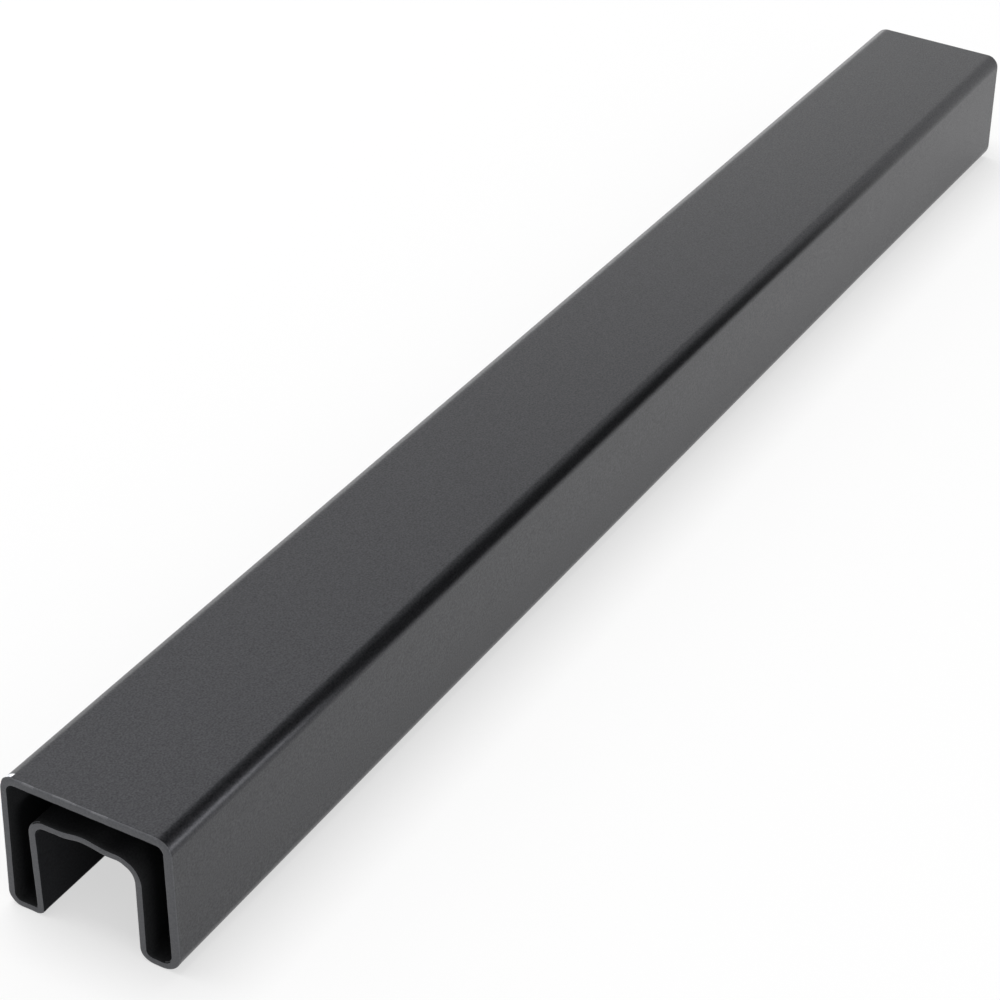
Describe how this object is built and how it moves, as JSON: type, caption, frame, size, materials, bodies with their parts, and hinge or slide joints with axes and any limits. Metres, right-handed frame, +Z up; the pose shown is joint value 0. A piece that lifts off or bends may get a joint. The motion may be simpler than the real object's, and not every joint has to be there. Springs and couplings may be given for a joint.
{
  "type": "glass fence handrail",
  "caption": "Slotted rectangular tube that caps the top edge of a glass fence, roll-formed with a closed wall that folds up into the slot, black powder coat, open sawn ends.",
  "frame": {"origin": "on the plane of the feet, at the middle of the rail's length and width", "axes": "+X along the rail, +Z up through the closed top, with the glass slot opening towards -Z"},
  "size_m": [0.265, 0.0256, 0.021],
  "materials": {
    "black_powder_coat": "satin"
  },
  "bodies": {
    "root": {"slotted_rail": "black_powder_coat"}
  },
  "joints": []
}
